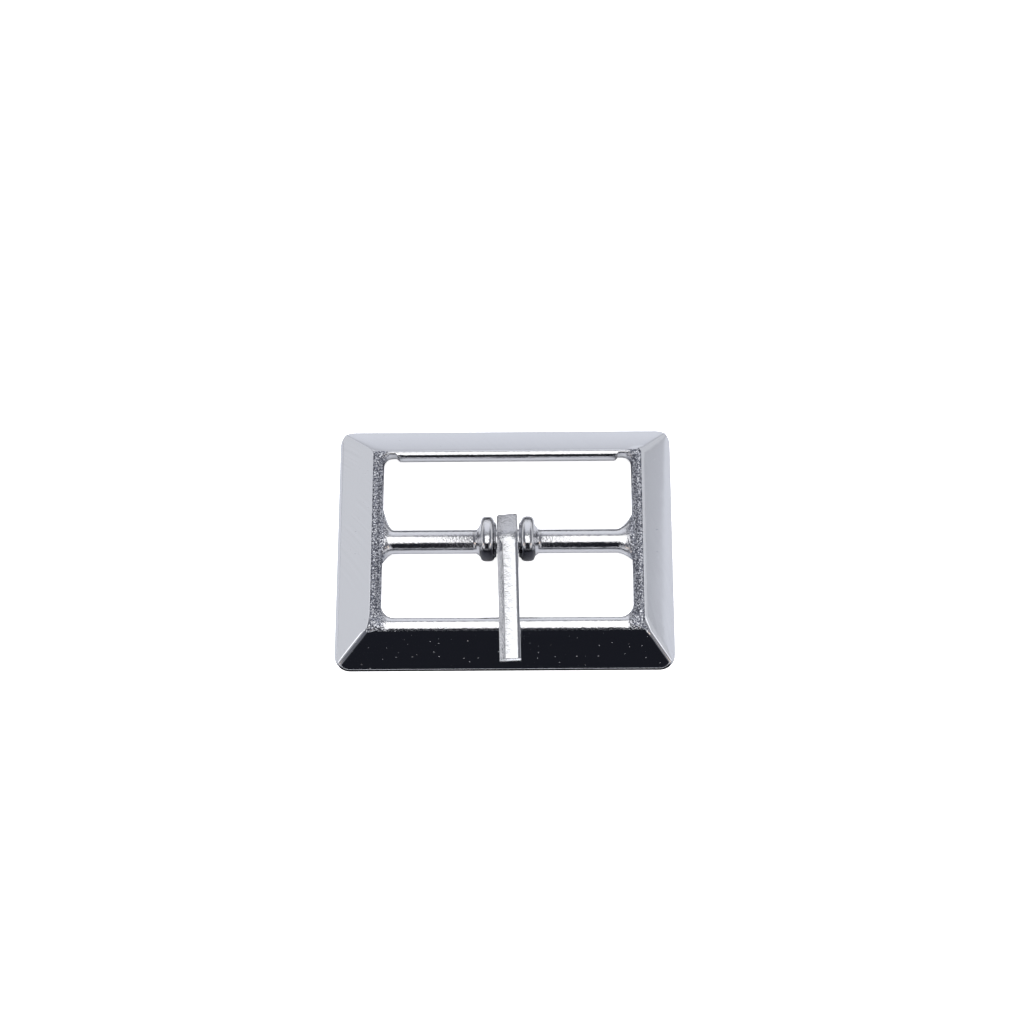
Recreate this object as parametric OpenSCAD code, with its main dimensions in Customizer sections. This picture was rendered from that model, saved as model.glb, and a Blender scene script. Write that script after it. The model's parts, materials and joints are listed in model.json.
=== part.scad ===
// Centre-bar belt buckle: a die-cast frame with an integral bar and a prong hooked round that bar.
// Millimetres. The origin is the centre of the frame on its flat back plane, +Z is the face side,
// +X runs along the bar, and the prong rests on the rail at -Y.

/* [Frame] */
// Overall width of the frame, along the bar
frame_w = 49; // [40:0.5:60]
// Overall height of the frame, across the bar
frame_h = 37.6; // [30:0.1:46]
// Width of a rail, from its outer edge to the strap opening
rail_w = 6.4; // [5:0.1:8]
// Height of the upright rim round the outside
rim_h = 0.9; // [0.6:0.1:1.4]
// Slope of the four polished faces, in degrees from the back plane
slope_angle = 40.5; // [34:0.5:44]
// Radius that the rail's crest is rounded to, on its way down into the opening
crest_r = 1.1; // [0.8:0.05:1.4]
// Outside corner radius, seen from the front
corner_r = 2.3; // [1.5:0.1:4]
// Corner radius of the strap opening
opening_r = 1.8; // [0.8:0.1:2.5]
// Thickness of the casting under the polished faces
wall = 1.2; // [0.9:0.1:1.5]
// Height of the opening's inner wall, below the crest's rounding
lip_h = 0.3; // [0.2:0.1:0.8]

/* [Ribs] */
// How far the ribs on the two long rails stand into the opening
rib_proud = 0.5; // [0.3:0.1:0.8]
// Gap from the side wall of the opening to the end of a rib
rib_inset = 2.3; // [1.8:0.1:4]
// Length of the slanted end of a rib
rib_slant = 0.6; // [0.3:0.1:1]

/* [Bar] */
// Diameter of the centre bar
bar_d = 3.5; // [3:0.1:3.8]
// How far the top of the bar lies below the crest of the rails
bar_drop = 0.05; // [0.02:0.01:0.3]
// Reach of a bar-end gusset along the bar
gusset_x = 2.2; // [1:0.1:3]
// Reach of the back gussets along the side rail
gusset_back = 3.4; // [1.5:0.1:4]
// Reach of the front gussets along the side rail
gusset_front = 1.9; // [1:0.1:3]
// Thickness of the gussets
gusset_t = 1.8; // [1.2:0.1:2.4]
// How far the gussets' free edges bow inwards, where 1 is straight
gusset_bow = 1.4; // [1:0.1:2]

/* [Collars] */
// Distance of the pair of collars, and the prong between them, to the right of the frame's middle
collar_shift = 0.45; // [0:0.05:0.6]
// Radius of the rounded bead that each collar is
bead_r = 1; // [0.8:0.05:1.3]
// Overall diameter of the collars, as far as the back plane leaves room for it
collar_d = 6.4; // [5.4:0.1:7]
// Length of the cone that runs from the bead's middle out to the bar
cone_l = 1.65; // [1.2:0.05:2.5]
// How far the collars sit behind the bar's axis
collar_back = 0.35; // [0:0.05:0.5]
// How far the collars sit above the bar's axis
collar_up = 0.15; // [0:0.05:0.3]

/* [Prong] */
// Width of the prong
prong_w = 3; // [2.4:0.1:4]
// Thickness of the prong's straight strip
prong_t = 1.5; // [1.2:0.05:2]
// How far the tip stands past the outer edge of the frame
tip_past = 0.45; // [0:0.05:0.5]
// Lean of the strip to the right of square to its bore, in degrees, as it was crimped
prong_lean = 1.4; // [0:0.1:2]
// Width of the facets along the strip's two upper edges
facet_w = 0.75; // [0.4:0.05:0.9]
// Height of those facets
facet_h = 0.5; // [0.3:0.05:0.8]
// Distance from the bar's axis back to where the head starts to bend down
bend_y = 0.1; // [0:0.1:1]
// Slope of the head's upper back facet, in degrees
bend_angle = 28; // [20:1:36]
// Wall of the head behind the bar
head_wall = 2; // [1.4:0.05:2.2]
// Size of the corners taken off the head
nose = 0.55; // [0.3:0.05:0.8]
// Wall of the hook in front of the bar, and under it as far as the back plane leaves room
hook_wall = 1.25; // [1:0.05:1.6]
// Width of the seam that the crimped hook leaves under the strip
seam = 0.45; // [0.3:0.05:0.8]

/* [Fits] */
// Radial clearance of the prong's bore on the bar
bore_clear = 0.07; // [0.03:0.01:0.1]
// Gap from each side of the prong to its collar
side_clear = 0.2; // [0.1:0.01:0.4]
// Gap left between the prong at rest and the crest it lies on
rest_clear = 0.03; // [0.02:0.01:0.08]
// Least height of the collars and the hook above the back plane
back_clear = 0.08; // [0.05:0.01:0.3]

/* [Hidden] */
$fn = 96;
eps = 0.01;
long = frame_w + frame_h;

opening_w = frame_w - 2 * rail_w;
opening_h = frame_h - 2 * rail_w;
// A rail's section is laid out by u, the distance in from the outer edge. The crest is a circle
// that touches the slope and the opening's wall.
crest_u = rail_w - crest_r;
crest_z = rim_h + crest_u * tan(slope_angle) - crest_r / cos(slope_angle);
crest_top = crest_z + crest_r;
lip_z = crest_z - lip_h;
// Away from the ribs the long rails stop short of the full width, with a smaller crest.
plain_rail = rail_w - rib_proud;
plain_r = crest_r * 0.75;
plain_u = plain_rail - plain_r;
plain_z = rim_h + plain_u * tan(slope_angle) - plain_r / cos(slope_angle);
// The hollow back follows the slopes, one wall in from them.
wall_rise = wall / cos(slope_angle);
hollow_foot = (wall_rise - rim_h) / tan(slope_angle);
land = max(hollow_foot, 0.7);

bar_r = bar_d / 2;
bar_z = crest_top - bar_r - bar_drop;
// The bar ends inside the casting, where the wall under the slope has come down to its underside.
bar_end = frame_w / 2 - (bar_z - bar_r - rim_h + wall_rise) / tan(slope_angle);
bore_r = bar_r + bore_clear;
collar_r = min(collar_d / 2, bar_z + collar_up - back_clear);
collar_in = prong_w / 2 + side_clear;
bead_x = collar_in + bead_r;

strip_z = crest_top + rest_clear;
strip_top = strip_z + prong_t;
tip_y = -(frame_h / 2 + tip_past);
head_y = bore_r + head_wall;
hook_y = -(bore_r + hook_wall);
hook_z = max(back_clear, bar_z - bore_r - hook_wall);
bend_run = head_y - bend_y;
facet_drop = bend_run * tan(bend_angle);

// A rectangle centred on the origin, with round corners.
module rounded_rect(w, h, r) {
    square([w - 2 * r, h], center = true);
    square([w, h - 2 * r], center = true);
    for (x = [-1, 1], y = [-1, 1])
        translate([x * (w / 2 - r), y * (h / 2 - r)]) circle(r);
}

// Extrudes a section drawn in (x, z) along the Y axis, from one side to the other.
module along_y(length) {
    rotate([90, 0, 0]) linear_extrude(length, center = true) children();
}

// The same for a section drawn in (y, z), along the X axis.
module along_x(length) {
    rotate([90, 0, 90]) linear_extrude(length, center = true) children();
}

// Section across the whole frame of everything under two opposite slopes and their crests.
module roof_section(span, u, z, r) {
    half = span / 2;
    run = u - r * sin(slope_angle);
    rise = z + r * cos(slope_angle);
    polygon([
        [-half, 0], [half, 0], [half, rim_h], [half - run, rise],
        [half - u, z], [u - half, z], [run - half, rise], [-half, rim_h]
    ]);
    for (side = [-1, 1])
        translate([side * (half - u), z]) circle(r);
    translate([u - half, z - eps]) square([span - 2 * u, r + eps]);
}

// Section of the strap opening, flared at the top by the inner half of the crest.
module opening_section(span, u, z, r) {
    mouth = span - 2 * u;
    throat = mouth - 2 * r;
    difference() {
        translate([-mouth / 2, -1]) square([mouth, crest_top + 2]);
        for (side = [-1, 1]) {
            translate([side * mouth / 2, z]) circle(r);
            translate([side * (throat + r) / 2, z / 2 - 1]) square([r, z + 2], center = true);
        }
    }
}

// Section of the hollow back, from the land on the back plane up to the lip.
module hollow_section(span) {
    foot = span / 2 - land;
    ridge = span / 2 - (lip_z - rim_h + wall_rise) / tan(slope_angle);
    start_z = max(0, rim_h + land * tan(slope_angle) - wall_rise);
    polygon([
        [-foot, -1], [foot, -1], [foot, start_z], [ridge, lip_z], [-ridge, lip_z], [-foot, start_z]
    ]);
}

// The four mitred rails as one ring.
module rails() {
    difference() {
        intersection() {
            linear_extrude(crest_top + 1) rounded_rect(frame_w, frame_h, corner_r);
            along_y(long) roof_section(frame_w, crest_u, crest_z, crest_r);
            along_x(long) roof_section(frame_h, plain_u, plain_z, plain_r);
        }
        intersection() {
            along_y(long) opening_section(frame_w, crest_u, crest_z, crest_r);
            along_x(long) opening_section(frame_h, plain_u, plain_z, plain_r);
        }
        intersection() {
            translate([0, 0, -1])
                linear_extrude(crest_top)
                    rounded_rect(frame_w - 2 * land, frame_h - 2 * land, corner_r - land);
            along_y(long) hollow_section(frame_w);
            along_x(long) hollow_section(frame_h);
        }
    }
}

// Rounds the inside corners of the opening.
module corner_fillers() {
    difference() {
        translate([0, 0, lip_z]) linear_extrude(plain_z - lip_z)
            square([opening_w + crest_r, frame_h - 2 * plain_rail + plain_r], center = true);
        linear_extrude(crest_top) rounded_rect(opening_w, frame_h - 2 * plain_rail, opening_r);
    }
}

// The thicker rounded rib along the straight of a long rail.
module rib() {
    edge = opening_h / 2;
    half = opening_w / 2 - rib_inset;
    intersection() {
        along_x(long) {
            translate([edge + crest_r, crest_z]) circle(crest_r);
            translate([edge, lip_z]) square([crest_r, crest_z - lip_z]);
        }
        linear_extrude(crest_top + 1)
            polygon([
                [-half, edge], [half, edge], [half + rib_slant, edge + crest_r],
                [half + rib_slant, edge + crest_r * 2], [-half - rib_slant, edge + crest_r * 2],
                [-half - rib_slant, edge + crest_r]
            ]);
    }
}

// The web that spreads a bar end into the side rail, with a hollow curve on its free edge.
module gusset(reach) {
    start = bar_r * 0.8;
    translate([opening_w / 2, 0, bar_z - gusset_t / 2])
        linear_extrude(gusset_t)
            polygon(concat(
                [[crest_r, 0], [-gusset_x, 0]],
                [for (t = [0:0.125:1])
                    [-gusset_x * pow(1 - t, gusset_bow), start + (bar_r - start + reach) * pow(t, gusset_bow)]],
                [[crest_r, bar_r + reach]]
            ));
}

// The centre bar, ended under the slopes of the side rails.
module bar() {
    intersection() {
        translate([-bar_end, 0, bar_z]) rotate([0, 90, 0]) cylinder(h = 2 * bar_end, r = bar_r);
        along_y(bar_d * 2) roof_section(frame_w, crest_u, crest_z, crest_r);
    }
}

module collar() {
    rotate([0, 90, 0])
        rotate_extrude() {
            translate([collar_r - bead_r, bead_x]) circle(bead_r);
            polygon([
                [0, bead_x], [collar_r - bead_r, bead_x],
                [collar_r - bead_r + bead_r * sin(45), bead_x + bead_r * cos(45)],
                [bar_r, bead_x + cone_l], [0, bead_x + cone_l]
            ]);
        }
}

module frame() {
    color("gainsboro") {
        rails();
        corner_fillers();
        for (y = [0, 1])
            mirror([0, y, 0]) rib();
        bar();
        for (x = [0, 1])
            mirror([x, 0, 0]) {
                gusset(gusset_back);
                mirror([0, 1, 0]) gusset(gusset_front);
            }
        for (x = [0, 1])
            translate([collar_shift, collar_back, bar_z + collar_up]) mirror([x, 0, 0]) collar();
    }
}

// Side view of the prong, drawn in (y, z): the level strip, and the squared head round the bar.
module prong_outline() {
    back_z = strip_top - facet_drop;
    polygon([
        [tip_y, strip_z], [hook_y, strip_z], [hook_y, hook_z + nose], [hook_y + nose, hook_z],
        [head_y - 2 * nose, hook_z], [head_y, hook_z + 2 * nose], [head_y, back_z - nose / 2],
        [head_y - nose / 2, back_z + nose / 2 * tan(bend_angle)],
        [bend_y, strip_top], [tip_y, strip_top]
    ]);
}

// The wedge that cuts the facet along one upper edge of the strip.
module facet_cut(length) {
    rotate([-90, 0, 0])
        linear_extrude(length)
            polygon([
                [prong_w / 2 - facet_w, -eps], [prong_w / 2 + eps, -eps],
                [prong_w / 2 + eps, facet_h], [prong_w / 2, facet_h], [prong_w / 2 - facet_w, 0]
            ]);
}

module prong() {
    color("silver")
        translate([collar_shift, 0, 0])
            difference() {
                rotate([0, 0, prong_lean])
                    difference() {
                        along_x(prong_w) prong_outline();
                        for (x = [0, 1])
                            mirror([x, 0, 0])
                                translate([0, tip_y - 1, strip_top]) facet_cut(bend_y - tip_y + 1);
                        translate([-prong_w, hook_y - 1, strip_z - seam])
                            cube([2 * prong_w, 1 - hook_y, seam]);
                    }
                translate([-prong_w, 0, bar_z])
                    rotate([0, 90, 0]) cylinder(h = 2 * prong_w, r = bore_r);
            }
}

frame();
prong();
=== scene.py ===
"""A plated die-cast belt buckle, modelled round its mechanical frame and lit in a small studio.

Everything is in metres in the frame's own axes: +X along the centre bar, the prong's tip at -Y, and the
face up. The file is laid out as an add-on: sizes and finishes are properties, and each piece has an
operator."""
import json
import math

import bmesh
import bpy
import numpy as np
from bpy.props import FloatProperty, FloatVectorProperty, IntProperty, PointerProperty
from mathutils import Matrix, Vector


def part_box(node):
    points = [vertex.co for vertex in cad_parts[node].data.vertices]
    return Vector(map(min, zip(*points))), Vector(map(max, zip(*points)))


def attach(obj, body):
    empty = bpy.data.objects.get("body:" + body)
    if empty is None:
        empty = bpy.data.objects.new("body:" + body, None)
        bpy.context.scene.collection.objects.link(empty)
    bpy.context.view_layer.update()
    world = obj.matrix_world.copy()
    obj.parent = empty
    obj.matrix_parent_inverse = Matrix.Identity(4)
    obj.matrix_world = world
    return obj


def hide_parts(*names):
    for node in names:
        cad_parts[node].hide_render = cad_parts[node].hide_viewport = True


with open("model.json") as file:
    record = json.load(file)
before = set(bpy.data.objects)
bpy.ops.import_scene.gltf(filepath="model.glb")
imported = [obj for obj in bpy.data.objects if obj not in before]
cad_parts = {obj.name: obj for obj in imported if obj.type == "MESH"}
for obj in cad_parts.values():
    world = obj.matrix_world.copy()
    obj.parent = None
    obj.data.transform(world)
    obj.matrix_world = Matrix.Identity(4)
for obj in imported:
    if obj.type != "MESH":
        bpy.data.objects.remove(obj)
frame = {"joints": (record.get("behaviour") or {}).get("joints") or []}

bl_info = {
    "name": "Centre-bar belt buckle",
    "version": (1, 0, 0),
    "blender": (4, 5, 0),
    "location": "View3D > Sidebar > Buckle",
    "description": "Builds a plated die-cast belt buckle round its mechanical frame",
    "category": "Object",
}

MM = 0.001
FRAME_LOW, FRAME_HIGH = (Vector(corner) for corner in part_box("frame"))
PRONG_LOW, PRONG_HIGH = (Vector(corner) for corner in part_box("prong"))
SWING = next(joint for joint in frame["joints"] if joint["name"] == "prong_swing")
PIVOT = Vector(SWING["pos_m"])


def length(name, default, description):
    return FloatProperty(name=name, description=description, default=default, subtype="DISTANCE",
                         unit="LENGTH")


def angle(name, degrees, description):
    return FloatProperty(name=name, description=description, default=math.radians(degrees), subtype="ANGLE")


def colour(name, default, description):
    return FloatVectorProperty(name=name, description=description, default=default, subtype="COLOR", size=3)


class CastingSizes(bpy.types.PropertyGroup):
    """Sizes of the frame casting with its bar and collars."""

    width: length("Width", FRAME_HIGH.x - FRAME_LOW.x, "Overall width, along the bar")
    height: length("Height", FRAME_HIGH.y - FRAME_LOW.y, "Overall height, across the bar")
    rail: length("Rail width", 6.4 * MM, "From the outer edge to the strap opening")
    rim: length("Rim height", 0.9 * MM, "Height at which a polished face, drawn straight, meets the outside")
    roll: length("Rolled edge", 0.12 * MM, "How far the outer edge of a polished face is rolled down")
    roll_reach: length("Roll reach", 0.4 * MM, "How fast the rolled edge dies away inwards")
    slope: angle("Slope", 40.5, "Tilt of the polished faces from the back plane")
    crest: length("Crest", 0.65 * MM, "Radius that the crest is rounded to on the back and side rails")
    crest_in: length("Crest place", 5.37 * MM, "From the outer edge in to the top of the crest")
    crest_drop: length("Crest drop", 0.9 * MM, "Height of the crest's rounding on its way into the opening")
    side_out: length("Side crest shift", 0.22 * MM, "How far the side rails' crests lie outside that place")
    front_crest: length("Front crest", 1.92 * MM, "Radius of the front rail's broader crest")
    front_in: length("Front crest place", 5.6 * MM, "From the outer edge in to the top of the front crest")
    front_sink: length("Front crest sink", 0.21 * MM, "How far the front crest lies below the others")
    corner: length("Corner radius", 2.3 * MM, "Outside corners, seen from the front")
    opening_corner: length("Back opening corners", 1.3 * MM, "Radius of the opening's two back corners")
    opening_front: length("Front opening corners", 2.0 * MM, "Radius of the opening's two front corners")
    wall: length("Wall", 1.2 * MM, "Thickness of the casting under the faces")
    lip: length("Lip", 3.48 * MM, "Height of the lower edge of the opening's inner wall")
    shift_x: length("Opening shift", 0.42 * MM, "How far the opening sits to the right of the middle")
    shift_y: length("Opening shift back", 0.2 * MM, "How far the opening sits behind the middle")
    mitre: length("Mitre rounding", 0.35 * MM, "Rounding that the polishing wheel gives each mitre")
    rib_proud: length("Rib", 0.5 * MM, "How far the back rail's rib stands into the opening")
    rib_inset: length("Rib inset", 2.4 * MM,
                      "From the opening's side wall to the end of the back rail's rib")
    bar: length("Bar diameter", 3.5 * MM, "Centre bar")
    steps: IntProperty(name="Corner steps", description="Stations along half of each corner", default=9,
                       min=3)
    flare_left: length("Left flare", 1.6 * MM, "Reach of the bar's flared left end along the bar")
    flare_left_back: length("Left flare back", 3.3 * MM,
                            "Reach of that end along the side rail, to the back")
    flare_left_front: length("Left flare front", 1.5 * MM,
                             "Reach of that end along the side rail, to the front")
    flare_right: length("Right flare", 2.3 * MM, "Reach of the bar's flared right end along the bar")
    flare_right_back: length("Right flare back", 2.3 * MM,
                             "Reach of that end along the side rail, to the back")
    flare_right_front: length("Right flare front", 1.2 * MM,
                              "Reach of that end along the side rail, to the front")
    collar: length("Collar diameter", 6.65 * MM, "Overall diameter of the collars")
    collar_back: length("Collar back", 0.48 * MM, "How far the collars sit behind the bar's axis")
    collar_up: length("Collar up", 0.12 * MM, "How far the collars sit above the bar's axis")
    collar_lean: length("Collar lean", 0.7 * MM, "How far in front of the collar's middle its top lies")
    bead: length("Bead width", 1.95 * MM, "Width of a collar's bead")
    hub: length("Hub", 0.3 * MM, "From a collar's bead in to its end face")
    cone: length("Cone", 0.6 * MM, "From a collar's bead out to the end of its cone")
    collar_gap: length("Collar gap", 3.3 * MM, "Clear width between the collars")


class ProngSizes(bpy.types.PropertyGroup):
    """Sizes of the prong."""

    width: length("Width", 3.0 * MM, "Width of the strip")
    thick: length("Thickness", 1.5 * MM, "Thickness of the strip")
    lean: angle("Lean", 1.4, "Lean of the strip to the right")
    bore: length("Bore radius", 1.82 * MM, "Radius of the hook's bore on the bar")
    facet: length("Left facet width", 0.82 * MM, "Facet along the strip's upper left edge")
    facet_drop: length("Left facet drop", 0.5 * MM, "Height of that facet")
    worn: length("Worn right edge", 0.55 * MM,
                 "Width of the two shallow facets worn along the upper right edge")
    worn_drop: length("Worn right drop", 0.13 * MM, "Height that they take off")
    bend: length("Bend", 0.1 * MM, "From the bar's axis back to where the head bends down")
    bend_round: length("Bend rounding", 1.0 * MM, "How far to each side the bend is rounded")
    bend_angle: angle("Bend angle", 28, "Slope of the head's upper back facet")
    skew: FloatProperty(name="Head skew", description="How far the cut head end is out of square",
                        default=0.07)
    head_wall: length("Head wall", 2.0 * MM, "Metal behind the bar")
    hook_wall: length("Hook wall", 1.25 * MM, "Metal in front of the bar and under it")
    seam: length("Seam", 0.45 * MM, "Gap that the crimped hook leaves")
    edge: length("Head edge", 0.24 * MM, "Rounding along the side edges of the head")


class Finish(bpy.types.PropertyGroup):
    """Colours and grain of the plating."""

    polished: colour("Polished plate", (0.74, 0.75, 0.78), "Plating on the polished faces")
    as_cast: colour("As-cast plate", (0.74, 0.74, 0.76), "Colour of the metal left as it was cast")
    coarse: colour("Coarse plate", (0.62, 0.63, 0.67), "Colour of the side rails' coarse inner walls")
    # Battered plate: worn plate on the crimped head, also used as painted shade on the strip's left facet.
    battered_and_shaded: colour("Battered plate", (0.60, 0.60, 0.62), "Colour of the prong's crimped head")
    # Painted shade: a near-black plate on the collars' lower, forward-facing surfaces.
    painted_shade: colour("Painted collar shade", (0.045, 0.045, 0.055), "Colour of the painted shade under the collars")
    grain: length("Grain", 0.31 * MM, "Size of the casting's grain")


class StudioSettings(bpy.types.PropertyGroup):
    """Floor, light and camera."""

    floor: colour("Floor", (0.93, 0.935, 0.945), "Colour of the plain floor")
    card: colour("Reflected card", (0.50, 0.51, 0.54), "Colour of the table as the metal reflects it")
    glow: FloatProperty(name="Table glow", description="Light that the table gives off", default=0.9,
                        min=0.0)
    softbox: FloatProperty(name="Softbox", description="Brightness of the overhead softbox", default=1.7,
                           min=0)
    fill: FloatProperty(name="Floor light", description="Power of the lamp that lights the floor",
                        default=9.0, min=0)
    lens: FloatProperty(name="Lens", description="Focal length in millimetres", default=90.05, min=1)


# ---------------------------------------------------------------- node trees


class GeometryTree:
    """A Geometry Nodes tree with named inputs, and short calls for the nodes that it is built of."""

    def __init__(self, name, sizes):
        self.tree = bpy.data.node_groups.new(name, "GeometryNodeTree")
        self.sizes = dict(sizes)
        self.sockets = {}
        interface = self.tree.interface
        interface.new_socket("Geometry", in_out="INPUT", socket_type="NodeSocketGeometry")
        for label in sizes:
            self.sockets[label] = interface.new_socket(label, in_out="INPUT", socket_type="NodeSocketFloat")
        self.sockets["Finish"] = interface.new_socket("Finish", in_out="INPUT",
                                                      socket_type="NodeSocketMaterial")
        interface.new_socket("Geometry", in_out="OUTPUT", socket_type="NodeSocketGeometry")
        self.given = self.tree.nodes.new("NodeGroupInput").outputs

    def add(self, kind, feeds=None, **settings):
        """Adds a node, feeds its sockets by name or number, and returns its outputs."""
        node = self.tree.nodes.new(kind)
        for key, value in settings.items():
            setattr(node, key, value)
        for key, feed in (feeds or {}).items():
            if isinstance(feed, bpy.types.NodeSocket):
                self.tree.links.new(feed, node.inputs[key])
            else:
                node.inputs[key].default_value = feed
        return node.outputs

    def math(self, operation, a, b=0.0):
        return self.add("ShaderNodeMath", {0: a, 1: b}, operation=operation)[0]

    def vector(self, name):
        return self.add("GeometryNodeInputNamedAttribute", {"Name": name},
                        data_type="FLOAT_VECTOR")["Attribute"]

    def without(self, geometry, *names):
        for name in names:
            feeds = {"Geometry": geometry, "Name": name}
            geometry = self.add("GeometryNodeRemoveAttribute", feeds)["Geometry"]
        return geometry

    def split(self, vector):
        return self.add("ShaderNodeSeparateXYZ", {0: vector})

    def join(self, x, y, z):
        return self.add("ShaderNodeCombineXYZ", {0: x, 1: y, 2: z})[0]

    def finish(self, geometry):
        """Ends the tree, with every instance made real and the finish set."""
        real = self.add("GeometryNodeRealizeInstances", {"Geometry": geometry})["Geometry"]
        done = self.add("GeometryNodeSetMaterial",
                        {"Geometry": real, "Material": self.given["Finish"]})["Geometry"]
        self.add("NodeGroupOutput", {"Geometry": done})

    def run(self, base, finish):
        """Runs the tree on a base mesh and returns the result as a plain mesh."""
        holder = bpy.data.objects.new(self.tree.name, base)
        bpy.context.collection.objects.link(holder)
        modifier = holder.modifiers.new(self.tree.name, "NODES")
        modifier.node_group = self.tree
        for label, value in self.sizes.items():
            modifier[self.sockets[label].identifier] = value
        modifier[self.sockets["Finish"].identifier] = finish
        result = bpy.data.meshes.new_from_object(
            holder.evaluated_get(bpy.context.evaluated_depsgraph_get()),
            preserve_all_data_layers=True,
            depsgraph=bpy.context.evaluated_depsgraph_get(),
        )
        bpy.data.objects.remove(holder)
        bpy.data.meshes.remove(base)
        bpy.data.node_groups.remove(self.tree)
        return result


def loops_mesh(name, loops, closed, attributes):
    """A mesh of bare polylines, with vector attributes on its points."""
    points, edges = [], []
    for loop in loops:
        first = len(points)
        points += loop
        edges += [(i, i + 1) for i in range(first, len(points) - 1)]
        if closed:
            edges.append((len(points) - 1, first))
    mesh = bpy.data.meshes.new(name)
    mesh.from_pydata(points, edges, [])
    for label, values in attributes.items():
        layer = mesh.attributes.new(label, "FLOAT_VECTOR", "POINT")
        layer.data.foreach_set("vector", np.array(values, dtype=np.float32).ravel())
    return mesh


# ---------------------------------------------------------------- the casting


def smooth(t):
    """An eased step from 0 to 1."""
    t = min(max(t, 0.0), 1.0)
    return t * t * (3 - 2 * t)


class RailShape:
    """Heights and places in a rail's section, worked out from the sizes. u is the distance in from the
    edge."""

    def __init__(self, s):
        self.tan, self.cos, self.sin = math.tan(s.slope), math.cos(s.slope), math.sin(s.slope)
        self.crest_u = s.crest_in
        self.crest_z = s.rim + self.crest_u * self.tan - s.crest / self.cos
        self.crest_top = self.crest_z + s.crest
        self.lip_z = s.lip
        self.wall_rise = s.wall / self.cos
        self.land = (self.wall_rise - s.rim) / self.tan
        self.ridge_u = (self.lip_z - s.rim + self.wall_rise) / self.tan
        self.polish_u = self.crest_u - s.crest * self.sin
        self.bar_z = PIVOT.z


def rail_section(s, shape):
    """The closed section of a rail, one triple of vectors for each point. share gives u as a fixed part, a
    part of the edge's u and a part of the opening's u. rise gives z as a fixed part, how far it follows the
    face, and how far it follows the face's rolled edge and rounded mitre. drift says how far u goes with a
    shifted crest, and how far the point's u and z move where the rail is the front one, with its broader
    crest."""
    points = []
    broader, inward, lower = s.front_crest - s.crest, s.front_in - s.crest_in, -s.front_sink
    front_polish = inward - broader * shape.sin

    def point(share, rise, drift=0, front=(0, 0)):
        points.append((share, rise, (drift, *front)))

    edge = 0.08 * MM
    # Points close to each side of a narrow edge keep the wide faces beside it flat in the light.
    point((0, 1, 0), (edge, 0, 0))
    point((0, 1, 0), (edge * 2, 0, 0))
    point((0, 1, 0), (-edge * 2, 1, 1))
    point((0, 1, 0), (-edge, 1, 1))
    point((edge * 0.3, 1, 0), (-edge * 0.3, 1, 1))
    for along in (0.017, 0.035, 0.08, 0.13, 0.2, 0.28, 0.38, 0.5, 0.65, 0.8, 0.92):
        point((shape.polish_u * along, 1 - along, 0), (0, 1, 1), along, (front_polish * along, 0))
    outer_steps, inner_steps = 8, 12
    tilts = [-s.slope * (1 - i / outer_steps) for i in range(outer_steps)]
    tilts += [math.pi / 2 * i / inner_steps for i in range(inner_steps + 1)]
    for tilt in tilts:
        soft = 1 - smooth((tilt + s.slope) / (2 * s.slope))
        fall = 1 - math.cos(tilt)
        if tilt <= 0:
            rise = (shape.crest_top - s.crest * fall, 0, soft)
            front = (inward + broader * math.sin(tilt), lower - broader * fall)
            point((shape.crest_u + s.crest * math.sin(tilt), 0, 0), rise, 1, front)
        else:
            toward = math.sin(tilt)
            rise = (shape.crest_top - s.crest_drop * fall, 0, soft)
            front = (inward * (1 - toward), lower)
            point((shape.crest_u * (1 - toward), 0, toward), rise, 1 - toward, front)
    under = 0.2 * MM
    for i in range(1, 5):
        turn = math.pi / 2 * i / 4
        inward = under * (1 - math.cos(turn))
        point((-inward, 0, 1), (shape.lip_z + under * (1 - math.sin(turn)), 0, 0))
    point((shape.ridge_u, 0, 0), (shape.lip_z, 0, 0), 1)
    drop = 0.06 * MM - shape.wall_rise
    for along in (0.05, 0.5, 0.95):
        u = shape.ridge_u + (shape.land - shape.ridge_u) * along
        point((u, 0, 0), (drop, 1, 0), 1 - along)
    follow = 1 - shape.land / s.corner
    point((shape.land, follow, 0), (drop, 1, 0))
    point((shape.land, follow, 0), (0, 0, 0))
    point((edge, 1, 0), (0, 0, 0))
    return points


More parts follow.
